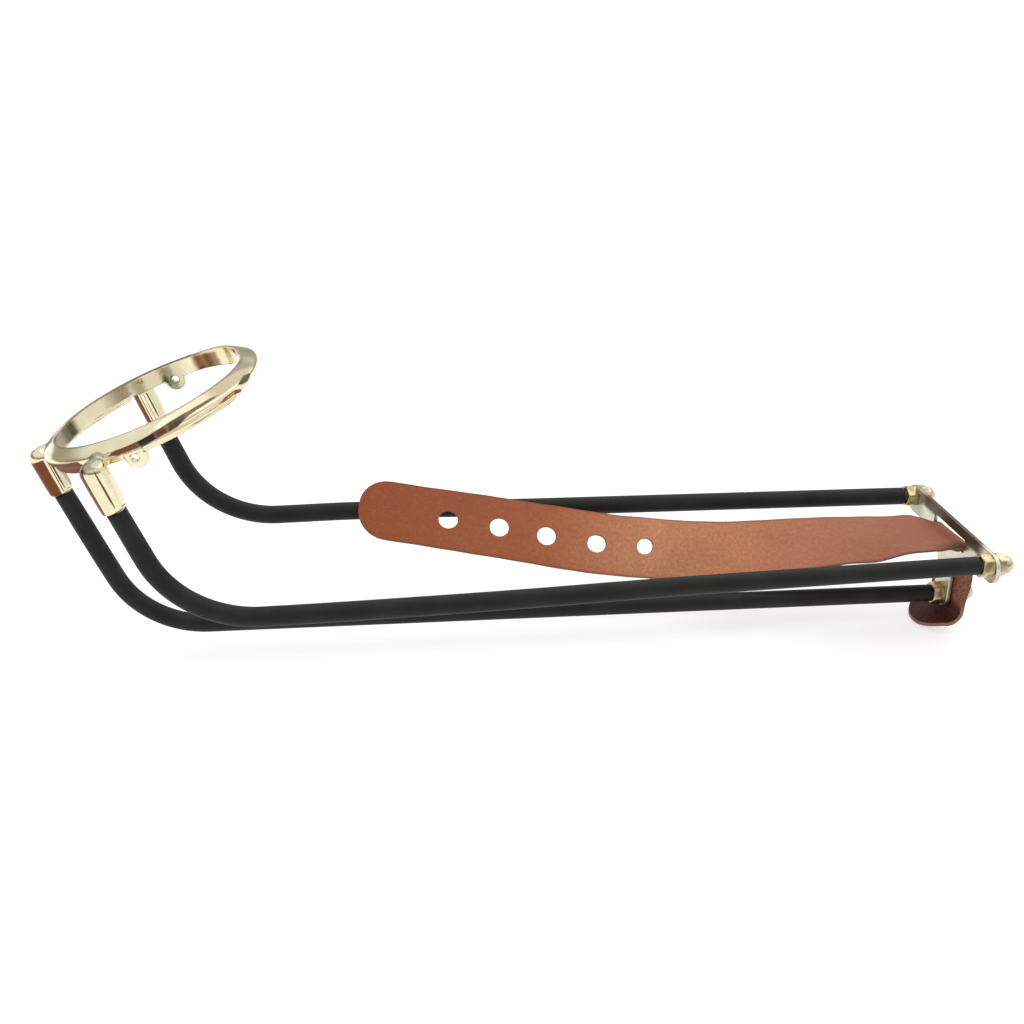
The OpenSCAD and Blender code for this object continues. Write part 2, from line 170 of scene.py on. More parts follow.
def surface_of(solid, low, high, cell):
    """The zero surface of a solid's distance, as points and four-sided faces."""
    axes = [np.arange(a, b + cell, cell) for a, b in zip(low, high)]
    depth = solid(*np.meshgrid(*axes, indexing="ij"))
    inside = depth < 0
    # A cell whose eight corners disagree is crossed by the surface, and gets a point
    count = sum(
        inside[i:i - 1 or None, j:j - 1 or None, k:k - 1 or None].astype(np.int8)
        for i in (0, 1) for j in (0, 1) for k in (0, 1))
    cells = np.argwhere((count > 0) & (count < 8))
    number = -np.ones(count.shape, np.int64)
    number[tuple(cells.T)] = np.arange(len(cells))
    total, crossings = np.zeros((len(cells), 3)), np.zeros(len(cells))
    for axis in range(3):
        others = [a for a in range(3) if a != axis]
        for i in (0, 1):
            for j in (0, 1):
                start = np.zeros(3, int)
                start[others[0]], start[others[1]] = i, j
                end = start.copy()
                end[axis] = 1
                a = depth[tuple((cells + start).T)]
                b = depth[tuple((cells + end).T)]
                cut = (a < 0) != (b < 0)
                share = np.where(cut, a / np.where(cut, a - b, 1), 0)
                place = start + np.outer(share, end - start)
                total[cut] += place[cut]
                crossings += cut
    points = (cells + total / crossings[:, None]) * cell + np.array(low)
    # An edge that crosses it gets a face between the four cells round that edge
    faces = []
    for axis in range(3):
        b, c = (axis + 1) % 3, (axis + 2) % 3
        first = inside.take(range(inside.shape[axis] - 1), axis)
        second = inside.take(range(1, inside.shape[axis]), axis)
        edges = np.argwhere(first != second)
        edges = edges[(edges[:, b] > 0) & (edges[:, c] > 0)]
        steps = np.zeros((4, 3), int)
        steps[1, b], steps[2, b], steps[2, c], steps[3, c] = -1, -1, -1, -1
        quad = np.stack([number[tuple((edges + s).T)] for s in steps], 1)
        out = first[tuple(edges.T)]
        faces.append(np.where(out[:, None], quad, quad[:, ::-1]))
    # Draws every point onto the true surface, by the slope that it feels around it
    probe, most = 0.02, 0.15
    for _ in range(3):
        away = np.stack([
            (solid(*(points + s).T) - solid(*(points - s).T)) / (2 * probe)
            for s in np.eye(3) * probe], 1)
        gap = solid(*points.T) / np.maximum((away * away).sum(1), 0.3)
        points -= np.clip(gap, -most, most)[:, None] * away
    return points, np.concatenate(faces)


def linked(name, data):
    """A new object in the scene."""
    piece = bpy.data.objects.new(name, data)
    bpy.context.scene.collection.objects.link(piece)
    return piece


def new_piece(name, points, faces, finish=None):
    """A smooth mesh object from points in mm in the part's frame."""
    mesh = bpy.data.meshes.new(name)
    mesh.from_pydata((points * MM).tolist(), [], list(faces))
    mesh.update()
    mesh.shade_smooth()
    if finish:
        mesh.materials.append(finish)
    return linked(name, mesh)


class Wire:
    """A shader socket. Sums and products on it add their Math nodes."""

    def __init__(self, finish, socket):
        self.finish, self.socket = finish, socket

    def math(self, operation, *values):
        return self.finish.add("ShaderNodeMath", {"operation": operation}, values)

    def __add__(self, other):
        return self.math("ADD", self, other)

    def __sub__(self, other):
        return self.math("SUBTRACT", self, other)

    def __rsub__(self, other):
        return self.math("SUBTRACT", other, self)

    def __mul__(self, other):
        return self.math("MULTIPLY", self, other)

    def __abs__(self):
        return self.math("ABSOLUTE", self)

    __radd__, __rmul__ = __add__, __mul__


class Finish:
    """The nodes that vary one surface: a material's, or the world's."""

    def __init__(self, owner, surface="Principled BSDF", place="Object"):
        self.owner = owner
        owner.use_nodes = True
        self.tree = owner.node_tree
        self.surface = self.tree.nodes[surface]
        self.place = self.add("ShaderNodeTexCoord", output=place)

    def add(self, kind, settings=None, values=(), output=0):
        """A node's output: its settings first, then the values or links of its inputs."""
        node = self.tree.nodes.new(kind)
        for key, value in (settings or {}).items():
            if key == "stops":
                ramp = node.color_ramp.elements
                while len(ramp) < len(value):
                    ramp.new(0.5)
                for stop, (position, colour) in zip(ramp, value):
                    stop.position, stop.color = position, (*colour, 1)
            else:
                setattr(node, key, value)
        pairs = values.items() if isinstance(values, dict) else enumerate(values)
        for key, value in pairs:
            self.feed(node.inputs[key], value)
        return Wire(self, node.outputs[output])

    def feed(self, socket, value):
        if isinstance(value, Wire):
            self.tree.links.new(value.socket, socket)
        elif socket.type == "RGBA":
            socket.default_value = (*value, 1)
        else:
            socket.default_value = value

    def split(self, vector):
        """A vector's three parts."""
        parts = self.add("ShaderNodeSeparateXYZ", {}, [vector])
        return [Wire(self, output) for output in parts.socket.node.outputs]

    def stored(self, name, output="Fac"):
        """A named attribute of the mesh."""
        return self.add("ShaderNodeAttribute", {"attribute_name": name}, output=output)

    def noise(self, size, detail=3.0, rough=0.55, place=None):
        """Cloudy variation from 0 to 1, with blots of about size mm."""
        return self.add("ShaderNodeTexNoise", {}, {
            "Vector": place or self.place, "Scale": 1 / (size * MM),
            "Detail": detail, "Roughness": rough})

    def step(self, value, low, high, to_low=0.0, to_high=1.0):
        """value taken from low..high to to_low..to_high, with soft ends."""
        return self.add("ShaderNodeMapRange", {"interpolation_type": "SMOOTHSTEP"},
                        [value, low, high, to_low, to_high])

    def mix(self, factor, a, b):
        """Colour a, and b where the factor is 1."""
        return self.add("ShaderNodeMix", {"data_type": "RGBA"},
                        {0: factor, 6: a, 7: b}, output=2)

    def bump(self, height, depth, under=None):
        """Relief of depth mm for a height from 0 to 1."""
        values = {"Height": height, "Distance": depth * MM, "Strength": 1.0}
        if under:
            values["Normal"] = under
        return self.add("ShaderNodeBump", {}, values)

    def set(self, **values):
        """Feeds the surface's own inputs and returns the finished owner."""
        for key, value in values.items():
            self.feed(self.surface.inputs[key.replace("_", " ")], value)
        return self.owner


def new_finish(name):
    return Finish(bpy.data.materials.new(name))


CELL = 0.45
points, faces = surface_of(ring_solid, (-59.5, -56.6, -17), (49.5, 56.6, 11.2), CELL)
lean = np.array([[math.cos(RING_TILT), 0, -math.sin(RING_TILT)], [0, 1, 0],
                 [math.sin(RING_TILT), 0, math.cos(RING_TILT)]])
pocket_ring = new_piece("pocket_ring_casting", points @ lean.T, faces.tolist())

# What the tones below are laid by. START is the bearing at the ring's left end, from
# which turned runs once round it; drop runs from 0 at the crest to 1 under the belly
START, NO_PAINTED_REFLECTION = 186, -90.0
LEFT_END, LUG_TURN, LINE_WIDTH = 182, 81.5, 4.6
normals = np.zeros(len(points) * 3)
pocket_ring.data.vertex_normals.foreach_get("vector", normals)
normals = normals.reshape(-1, 3) @ lean
x, y, z = points.T
upward = normals[:, 2]
reach = length(x, y)
turned = (np.degrees(np.arctan2(y, x)) - START) % 360
heading = np.degrees(np.arctan2(normals[:, 1], normals[:, 0]))
drop = (0.44 * (reach - INNER_R) - 0.9 * (z - TOP_Z)) / 10


def beside(angle):
    """Whether a point belongs to the socket at a bearing."""
    ex, ey = heading_to(angle)
    return length(x - SOCKET_R * ex, y - SOCKET_R * ey) < 6.0


# Painted reflections on each socket: a brown strip painted on the side turned from the light,
# and a fine dark line painted down its lit side.
# For each: the brown strip's middle, half width and top, the line's middle
lee, streak = np.full(len(points), NO_PAINTED_REFLECTION), np.full(len(points), NO_PAINTED_REFLECTION)
for angle, middle, half, top, lit in (
        (SOCKETS[0], -140, 67, 1.6, -52), (SOCKETS[1], -150, 40, 4.8, -66),
        (SOCKETS[2], -155, 36, 4.8, -69)):
    near = beside(angle)
    strip = half - np.abs((heading - middle + 180) % 360 - 180)
    lee = np.where(near, np.minimum(strip, (top - z) * 12), lee)
    streak = np.where(near & (z < 4.2) & (z > -14),
                      LINE_WIDTH - np.abs(heading - lit + z / 4)
                      - 3.0 * ((z + 5) / 9) ** 4, streak)
# The top of the right socket, where a grey reflection is painted
cap = np.where(beside(SOCKETS[2]) & (reach > 45.5), upward, 0)

# A dark line, a painted reflection, climbs from under the moulding to its crest: its place and
# half width, both in drop, round the ring. It leaves out the underside, the lug and the lip
line = np.interp(turned, (12, 20, 45, 58, 74, 80, 90, 98, 106, 112, 118, 127, 133, 146),
                 (0.91, 0.90, 0.87, 0.85, 0.70, 0.72, 0.69, 0.62, 0.57, 0.48, 0.46, 0.47,
                  0.50, 0.67))
half = np.interp(turned, (12, 20, 54, 57, 71, 76, 92, 106, 110, 114, 127, 133,
                          143, 147, 152, 156, 159),
                 (0, 0.25, 0.25, 0, 0, 0.12, 0.13, 0.18, 0.13, 0.09, 0.07, 0,
                  0, 0.10, 0.15, 0.06, 0))
dark = np.where((reach > 42.0) & (lee == NO_PAINTED_REFLECTION) & (half > 0.01),
                half - np.abs(drop - line), -1)
lug = length((turned - LUG_TURN) * math.radians(44), z + 0.8) < 5.6
lip = (turned > 68) & (z < 2.2)
dark = np.where((upward < -0.93) | (lug & (z < 3.0)) | lip, -1, dark)

# Masks for painted reflections: the inner wall, the crest, the sloping face, and the stretch at
# the left end, painted darker and also made rougher
wall = np.clip((41.9 - reach) / 0.4, 0, 1) * np.clip((8.6 - z) / 1.2, 0, 1)
crest = np.clip((0.09 - drop) / 0.03, 0, 1) * (z > 8.0)
slope = np.clip((upward - 0.45) / 0.2, 0, 1) * (drop > 0.05) * (z > 4) * (reach < 48.2)
from_left = np.abs((turned + START - LEFT_END + 180) % 360 - 180)
dull = (np.clip((15 - from_left) / 5, 0, 1) * (reach < 48.4)
        * np.clip((upward + 0.2) / 0.3, 0, 1) * np.clip((drop - 0.06) / 0.04, 0, 1))
matt = np.maximum(dull, (dark > -0.015) * (turned < 57))
for name, values in dict(
        turn=turned, lee=lee, streak=streak, dark=dark, wall=wall, crest=crest,
        slope=slope, cap=cap, dull=dull, matt=matt).items():
    layer = pocket_ring.data.attributes.new(name, "FLOAT", "POINT")
    layer.data.foreach_set("value", np.asarray(values, np.float32))

gold = new_finish("polished_gold")
cloud = gold.noise(9, 2)
speck = gold.noise(1.1, 4, 0.7)
ragged = (gold.noise(2.5, 3) - 0.5) * 2.0
turn = gold.stored("turn") + ragged * 1.5


def bands(tone, amount, stretches):
    """Lays stretches over a tone: bearing, half width and soft edge in degrees, colour."""
    for middle, half, soft, colour in stretches:
        inside = gold.step(abs(turn - (middle - START) % 360), half - soft, half + soft, 1, 0)
        tone = gold.mix(amount * inside, tone, colour)
    return tone


tone = gold.mix(gold.step(cloud, 0.35, 0.7), (0.79, 0.70, 0.48), (0.86, 0.78, 0.56))
# Painted reflections, in bands by bearing, on the inner wall
tone = bands(tone, gold.stored("wall"), (
    (98, 18, 4, (0.62, 0.56, 0.38)), (168, 8, 3, (0.18, 0.17, 0.09)),
    (110, 3.5, 2.5, (0.34, 0.31, 0.18)), (90, 3.2, 2, (0.30, 0.28, 0.17)),
    (61, 10.0, 2.2, (0.33, 0.17, 0.085)), (60, 3.0, 3, (0.12, 0.08, 0.04))))
# Painted reflections on the crest and on the sloping face
tone = bands(tone, gold.stored("crest"), (
    (118, 52, 8, (0.26, 0.24, 0.16)), (245, 60, 10, (0.56, 0.52, 0.40))))
tone = bands(tone, gold.stored("slope"), (
    (304, 15, 6, (0.62, 0.55, 0.38)), (335, 21, 5, (0.40, 0.34, 0.22))))
# Painted dark reflection at the left end
tone = gold.mix(gold.stored("dull"), tone, (0.20, 0.18, 0.13))
# Painted reflection: grey on the right socket's top
tone = gold.mix(gold.step(gold.stored("cap"), 0.3, 0.75, 0.0, 0.9), tone, (0.36, 0.34, 0.26))
# Painted dark reflection along that line, in browns and near black by bearing; there the metal
# is also less metallic and rougher
dark_reflection = gold.step(gold.stored("dark") + ragged * 0.012, -0.015, 0.035)
tone = bands(tone, dark_reflection, (
    (213, 33, 2, (0.19, 0.070, 0.026)), (263, 10, 1.5, (0.17, 0.05, 0.018)),
    (277.5, 5, 1.5, (0.016, 0.011, 0.007)), (284.5, 3, 1.5, (0.14, 0.042, 0.016)),
    (293, 6, 2, (0.075, 0.062, 0.026)), (307, 10, 3, (0.125, 0.105, 0.045)),
    (336, 8, 2, (0.11, 0.09, 0.04))))
# Painted reflection: the brown strip on the side of each socket turned from the light
tone = gold.mix(gold.step(gold.stored("lee") + ragged * 2.0, -2.5, 2.5), tone,
                (0.16, 0.055, 0.024))
# Painted reflection: the fine dark line down each socket's lit side
tone = gold.mix(gold.step(gold.stored("streak") + ragged, -0.5, 1.5), tone,
                (0.10, 0.085, 0.045))
unpolished = gold.stored("matt") * 0.45
pocket_ring.data.materials.append(gold.set(
    Base_Color=tone, Metallic=1 - dark_reflection * 0.5 - unpolished,
    Roughness=gold.step(speck, 0.45, 0.8, 0.09, 0.2) + dark_reflection * 0.25 + unpolished,
    Normal=gold.bump(gold.noise(3.2, 2), 0.02, gold.bump(speck, 0.006))))
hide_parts("pocket_ring")
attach(pocket_ring, "rail_frame")

# ---------------------------------------------------------------------------
# Rods: drawn steel, 6 mm, hidden in the sleeves but for a hair at each end, with
# threaded studs that the nuts sit on.

steel = new_finish("drawn_steel")
drawn = steel.noise(0.8, 3)
steel_metal = steel.set(
    Base_Color=steel.mix(drawn, (0.42, 0.41, 0.38), (0.60, 0.58, 0.54)),
    Metallic=1.0, Roughness=steel.step(drawn, 0.3, 0.7, 0.25, 0.4))
for name in ("lower_rod", "left_rod", "right_rod"):
    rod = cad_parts[name]
    rod.data.materials.clear()
    rod.data.materials.append(steel_metal)

# ---------------------------------------------------------------------------
# Sleeves: matt black rubber tube, 9 mm outside, pushed over the rods. The rubber
# is stretched a little thinner where it butts against a socket.

# Radii of the lower, left and right sleeve, and what the strap allows for under it
SLEEVE_RADII, SLEEVE_R, SLEEVE_WALL = (4.25, 4.42, 4.25), 4.4, 1.1
RAIL_R, RAIL_SPREAD = 52.55, 71
# The plate's inner face, and the rods' heights and distance from the middle there
PLATE_X, LOW_Z, SIDE_Y = 367.3, -102.7, 38.7
SIDE_Z = LOW_Z + 35.9
SLEEVE_END, LOW_SLEEVE_END = PLATE_X - 6.4, PLATE_X - 3.6
SIDE_LEG, SIDE_BEND, LOW_BEND = 54.8, 46.0, 41.0
down = np.array([math.sin(RING_TILT), 0, -math.cos(RING_TILT)])


def unit(vector):
    return vector / np.linalg.norm(vector)


def rail_path(side):
    """Start, corner, end and bend radius of a sleeve: side is 1 left, -1 right, 0 low."""
    ex, ey = heading_to(180 - RAIL_SPREAD * side)
    mouth = lean @ np.array([RAIL_R * ex, RAIL_R * ey, SOCKET_MOUTH])
    if side == 0:
        corner = mouth + down * (mouth[2] - LOW_Z) / math.cos(RING_TILT)
        end = np.array([LOW_SLEEVE_END, 0, LOW_Z])
    else:
        corner = mouth + down * SIDE_LEG
        end = np.array([SLEEVE_END, side * SIDE_Y, SIDE_Z])
    # Each sits a little askew in its socket
    start = mouth + down * 0.25 - lean @ np.array([0.3 if side == 1 else 0.8, 0, 0])
    return start, corner, end, LOW_BEND if side == 0 else SIDE_BEND


def bent_line(start, corner, end, bend_r, step=1.5):
    """Points along a straight, a bend and a straight."""
    d1, d2 = unit(corner - start), unit(end - corner)
    turn = math.acos(d1 @ d2)
    back = bend_r * math.tan(turn / 2)
    inward = unit(d2 - d1 * (d1 @ d2))
    a, b = corner - d1 * back, corner + d2 * back
    centre = a + inward * bend_r
    arc = [centre + bend_r * (d1 * math.sin(t) - inward * math.cos(t))
           for t in np.linspace(0, turn, int(bend_r * turn / step))]
    first = [start + (a - start) * t
             for t in np.linspace(0, 1, int(np.linalg.norm(a - start) / step), False)]
    last = [b + (end - b) * t
            for t in np.linspace(0, 1, int(np.linalg.norm(end - b) / (2 * step)))[1:]]
    route = np.array(first + arc + last)
    # The legs were bent by hand and bow a little
    leg, most = np.linalg.norm(a - start) + bend_r * turn, 0.7
    run = np.r_[0, np.cumsum(np.linalg.norm(np.diff(route, axis=0), axis=1))]
    bow = np.sin(math.pi * np.clip(run / leg, 0, 1)) ** 1.2
    return route - np.outer(bow, unit(inward * (1, 0.2, 0.2)) * most)


def node_tree(name, inputs):
    """An empty geometry tree: itself, its named inputs, a way to add a node and a way
    to send a socket out."""
    tree = bpy.data.node_groups.new(name, "GeometryNodeTree")
    tree.interface.new_socket("Geometry", in_out="INPUT", socket_type="NodeSocketGeometry")
    for label, kind in inputs.items():
        tree.interface.new_socket(label, in_out="INPUT", socket_type="NodeSocket" + kind)
    tree.interface.new_socket("Geometry", in_out="OUTPUT", socket_type="NodeSocketGeometry")
    source, sink = tree.nodes.new("NodeGroupInput"), tree.nodes.new("NodeGroupOutput")

    def add(kind, values=None, settings=None, output=0):
        node = tree.nodes.new(kind)
        for key, value in (settings or {}).items():
            setattr(node, key, value)
        for key, value in (values or {}).items():
            if isinstance(value, bpy.types.NodeSocket):
                tree.links.new(value, node.inputs[key])
            else:
                node.inputs[key].default_value = value
        return node.outputs[output]

    return tree, source.outputs, add, lambda socket: tree.links.new(socket, sink.inputs[0])


def add_line(curve, places):
    """Adds a straight-sided spline through places in mm."""
    spline = curve.splines.new("POLY")
    spline.points.add(len(places) - 1)
    spline.points.foreach_set("co", np.c_[places * MM, np.ones(len(places))].ravel())
    return spline


def round_edges(piece, name, width):
    """Rounds an object's sharp edges."""
    edge = piece.modifiers.new(name, "BEVEL")
    edge.width, edge.segments, edge.limit_method = width * MM, 3, "ANGLE"
    edge.angle_limit = math.radians(50)


def made_plain(piece):
    """Puts a plain mesh of what an object's curve or modifiers make in its place."""
    bpy.context.view_layer.update()
    mesh = bpy.data.meshes.new_from_object(
        piece.evaluated_get(bpy.context.evaluated_depsgraph_get()))
    mesh.name = name = piece.name
    bpy.data.objects.remove(piece)
    return linked(name, mesh)


def run_tree(piece, tree, values):
    """Runs a geometry tree on an object and leaves its result as a plain mesh."""
    grow = piece.modifiers.new("grow", "NODES")
    grow.node_group = tree
    for item in tree.interface.items_tree:
        if item.in_out == "INPUT" and item.name in values:
            grow[item.identifier] = values[item.name]
    return made_plain(piece)


sleeve_tree, given, add, send_out = node_tree("sleeve", {
    "Radius": "Float", "Thinning": "Float", "Thin length": "Float", "Sides": "Int",
    "Rubber": "Material"})
run = add("GeometryNodeSplineParameter", output="Length")
thin = add("ShaderNodeMapRange", {
    0: run, 1: 0.0, 2: given["Thin length"], 3: given["Thinning"], 4: 1.0},
    {"interpolation_type": "SMOOTHSTEP"})
section = add("GeometryNodeCurvePrimitiveCircle", {
    "Resolution": given["Sides"], "Radius": given["Radius"]})
tube = add("GeometryNodeCurveToMesh", {
    "Curve": given["Geometry"], "Profile Curve": section, "Scale": thin})
tube = add("GeometryNodeSetShadeSmooth", {"Geometry": tube})
send_out(add("GeometryNodeSetMaterial", {"Geometry": tube, "Material": given["Rubber"]}))

rubber = new_finish("matt_rubber")
bloom = rubber.noise(14, 3)
skin = rubber.noise(0.6, 3, 0.6)
rubber_skin = rubber.set(
    Base_Color=rubber.mix(rubber.step(bloom, 0.35, 0.75),
                          (0.009, 0.009, 0.008), (0.015, 0.015, 0.014)),
    Roughness=rubber.step(skin, 0.3, 0.8, 0.5, 0.62),
    Specular_IOR_Level=0.22,
    Normal=rubber.bump(skin, 0.015, rubber.bump(rubber.noise(6, 2), 0.06)))

# The side sleeves sag or rise a little past their bends, round a middle in X
for name, side, sag, middle, spread in (
        ("lower_sleeve", 0, 0.0, 0, 1), ("left_sleeve", 1, -1.0, 95, 45),
        ("right_sleeve", -1, 1.1, 105, 85)):
    line = bpy.data.curves.new(name, "CURVE")
    line.dimensions = "3D"
    route = bent_line(*rail_path(side))
    route[:, 2] -= sag * np.exp(-np.abs((route[:, 0] - middle) / spread) ** 3)
    add_line(line, route)
    sleeve = run_tree(linked(name + "_tube", line), sleeve_tree, {
        "Radius": SLEEVE_RADII[side] * MM, "Thinning": 0.96, "Thin length": 22 * MM,
        "Sides": 40, "Rubber": rubber_skin})
    wall = sleeve.modifiers.new("wall", "SOLIDIFY")
    wall.thickness, wall.offset = SLEEVE_WALL * MM, -1
    round_edges(sleeve, "rim", 0.3)
    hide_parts(name)
    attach(sleeve, "rail_frame")

# ---------------------------------------------------------------------------
# End plate: 2 mm steel, pressed to shape with its edges slightly rounded, zinc
# plated and passivated. It stops the ball and holds the rods' ends.

PLATE_T, LOBE_R, EAR_R, WEB_DROP, FILLET_R = 2.0, 6.6, 6.2, 8.6, 16.0
ROD_HOLE_R, SLOT_HALF, SLOT_ROUND = 3.3, 15.5, 1.0
SLOT_TOP = SIDE_Z + 0.6
SLOT_BOTTOM = SLOT_TOP - 6.6


def arc(cx, cy, r, a, b, n=16):
    turn = np.radians(np.linspace(a, b, n))
    return list(zip(cx + r * np.cos(turn), cy + r * np.sin(turn)))


def plate_outline():
    web = SIDE_Z - WEB_DROP
    half = (arc(SIDE_Y, SIDE_Z - 0.6, EAR_R, 90, 0)
            + arc(SIDE_Y, web + EAR_R, EAR_R, 0, -90)
            + arc(LOBE_R + FILLET_R, web - FILLET_R, FILLET_R, 90, 180)
            + arc(0, LOW_Z, LOBE_R, 0, -85))
    return half + [(-y, z) for y, z in reversed(half)]


def set_out(z, most=2.2):
    """How far the plate's foot stands out, as it was tightened against its rod."""
    return most * (SIDE_Z - z) / (SIDE_Z - LOW_Z)


zinc = new_finish("passivated_zinc")
haze = zinc.noise(7, 4, 0.6)
grit = zinc.noise(0.5, 3, 0.6)
_, sideways, height = zinc.split(zinc.place)
plated = zinc.mix(zinc.step(haze, 0.3, 0.7), (0.56, 0.52, 0.41), (0.74, 0.70, 0.57))
far_ear = zinc.step(sideways, 26 * MM, 32 * MM, 0.0, 0.85)
plated = zinc.mix(far_ear, plated, zinc.mix(haze, (0.32, 0.28, 0.20), (0.46, 0.42, 0.32)))
# Painted shade: the bar above the slot is painted dark, and also made rougher
bar_shade = (zinc.step(height, (SIDE_Z - 1.5) * MM, (SIDE_Z + 1.0) * MM)
          * zinc.step(sideways, 24 * MM, 33 * MM, 1.0, 0.0)
          * zinc.step(sideways, -34 * MM, -26 * MM))
plated = zinc.mix(bar_shade, plated, zinc.mix(haze, (0.11, 0.085, 0.065), (0.20, 0.165, 0.115)))
# The far ear's upper outer corner is browner
browner_far_corner = (zinc.step(sideways + (haze - 0.5) * 0.012, 34 * MM, 44 * MM, 0.0, 0.75)
           * zinc.step(height, (SIDE_Z - 5) * MM, (SIDE_Z + 1) * MM))
plated = zinc.mix(browner_far_corner, plated, (0.24, 0.17, 0.07))
zinc_plate = zinc.set(
    Base_Color=plated, Metallic=1.0,
    Roughness=zinc.step(haze, 0.3, 0.7, 0.3, 0.42) + bar_shade * 0.2,
    Normal=zinc.bump(grit, 0.012, zinc.bump(haze, 0.03)))

slot_y = SLOT_HALF - SLOT_ROUND
slot_high, slot_low = SLOT_TOP - SLOT_ROUND, SLOT_BOTTOM + SLOT_ROUND
slot_hole = (arc(slot_y, slot_high, SLOT_ROUND, 0, 90, 5)
             + arc(-slot_y, slot_high, SLOT_ROUND, 90, 180, 5)
             + arc(-slot_y, slot_low, SLOT_ROUND, 180, 270, 5)
             + arc(slot_y, slot_low, SLOT_ROUND, 270, 360, 5))
rod_holes = [arc(y, z, ROD_HOLE_R, 0, 348, 30)
             for y, z in ((SIDE_Y, SIDE_Z), (-SIDE_Y, SIDE_Z), (0, LOW_Z))]

# A filled curve in Y and Z, with rounded edges, stood up across the rails
EDGE_R = 0.3
line = bpy.data.curves.new("end_plate_pressing", "CURVE")
line.dimensions, line.fill_mode = "2D", "BOTH"
line.extrude, line.bevel_depth = (PLATE_T / 2 - EDGE_R) * MM, EDGE_R * MM
line.bevel_resolution, line.offset = 2, -EDGE_R * MM
for outline in (plate_outline(), slot_hole, *rod_holes):
    add_line(line, np.array([(a, b, 0) for a, b in outline])).use_cyclic_u = True
end_plate = made_plain(linked(line.name, line))
mesh = end_plate.data
mesh.transform(Matrix(((0, 0, 1, (PLATE_X + PLATE_T / 2) * MM),
                       (1, 0, 0, 0), (0, 1, 0, 0), (0, 0, 0, 1))))
for point in mesh.vertices:
    point.co.x += set_out(point.co.z / MM) * MM
for side in mesh.polygons:
    side.use_smooth = abs(side.normal.x) < 0.97
mesh.materials.clear()
mesh.materials.append(zinc_plate)
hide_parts("end_plate")
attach(end_plate, "rail_frame")

# ---------------------------------------------------------------------------
# Nuts: M6, 10 mm across flats, yellow passivated. A plain nut sits inside the
# plate on each stud and a dome nut outside it.

NUT_FLAT, NUT_CORNER, NUT_FACE, NUT_BORE = 5.0, 5.66, 4.85, 3.05
NUT_H, DOME_HEX_H = 5.6, 3.8
NUT_SIDES = 96
nut_turn = np.linspace(0, 2 * math.pi, NUT_SIDES, False)
# Radius of a hexagon with slightly rounded corners, at each side's angle
hexagon = np.minimum(
    NUT_FLAT / np.cos((nut_turn + math.pi / 6) % (math.pi / 3) - math.pi / 6), NUT_CORNER)
bevel = np.maximum(hexagon - NUT_FACE, 0) * 0.58


def revolved(name, rows, finish):
    """A closed shape turned about X: each row is a radius and a place for every side."""
    rows = np.array([[np.ones(NUT_SIDES) * part for part in row] for row in rows])
    points = np.stack([rows[:, 1], rows[:, 0] * np.cos(nut_turn),
                       rows[:, 0] * np.sin(nut_turn)], 2)
    n, sides = len(rows), NUT_SIDES
    faces = [(i * sides + k, i * sides + (k + 1) % sides,
              (i + 1) % n * sides + (k + 1) % sides, (i + 1) % n * sides + k)
             for i in range(n) for k in range(sides)]
    return new_piece(name, points.reshape(-1, 3), faces, finish)


def hex_rows(height):
    """A nut's rows from its bore over the low face and up its six flats."""
    low, high = bevel, height - bevel
    return [(NUT_BORE, 0.5), (NUT_BORE + 0.4, 0.0), (4.7, 0.0), (NUT_FACE, 0.02),
            (hexagon - 0.05, low), (hexagon, low + 0.12),
            (hexagon, high - 0.12), (hexagon - 0.05, high)]


nut_tree, given, add, send_out = node_tree("nuts", {
    "Nut": "Object", "Most turn": "Float", "Seed": "Int", "Plating": "Material"})
nut = add("GeometryNodeObjectInfo", {"Object": given["Nut"]}, output="Geometry")
spin = add("FunctionNodeRandomValue", {
    "Min": 0.0, "Max": given["Most turn"], "Seed": given["Seed"]},
    {"data_type": "FLOAT"}, output=1)
turn_by = add("ShaderNodeCombineXYZ", {"X": spin})
placed = add("GeometryNodeInstanceOnPoints", {
    "Points": given["Geometry"], "Instance": nut, "Rotation": turn_by})
placed = add("GeometryNodeRealizeInstances", {"Geometry": placed})
send_out(add("GeometryNodeSetMaterial", {"Geometry": placed, "Material": given["Plating"]}))


def nuts_on(name, pattern, seats, seed, finish, nodes):
    """Copies of a nut on its seats, each turned by chance about its stud."""
    made = run_tree(new_piece(name, np.array(seats), [], finish), nut_tree, {
        "Nut": pattern, "Most turn": 0.9, "Seed": seed, "Plating": finish})
    bpy.data.objects.remove(pattern)
    made.data.set_sharp_from_angle(angle=math.radians(28))
    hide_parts(*nodes)
    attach(made, "rail_frame")


def plating(name, size, dark, light, rough):
    """A cloudy metal plating, with its tints in blots of about size mm."""
    finish = new_finish(name)
    tint = finish.noise(size, 3, 0.6)
    return finish.set(
        Base_Color=finish.mix(finish.step(tint, 0.3, 0.72), dark, light), Metallic=1.0,
        Roughness=finish.step(tint, 0.3, 0.7, *rough),
        Normal=finish.bump(finish.noise(0.4, 3), 0.012))


yellow_plating = plating(
    "yellow_passivated", 3.5, (0.36, 0.27, 0.12), (0.70, 0.61, 0.38), (0.22, 0.36))
pale_plating = plating(
    "pale_passivated", 3.0, (0.52, 0.43, 0.27), (0.74, 0.66, 0.47), (0.24, 0.38))

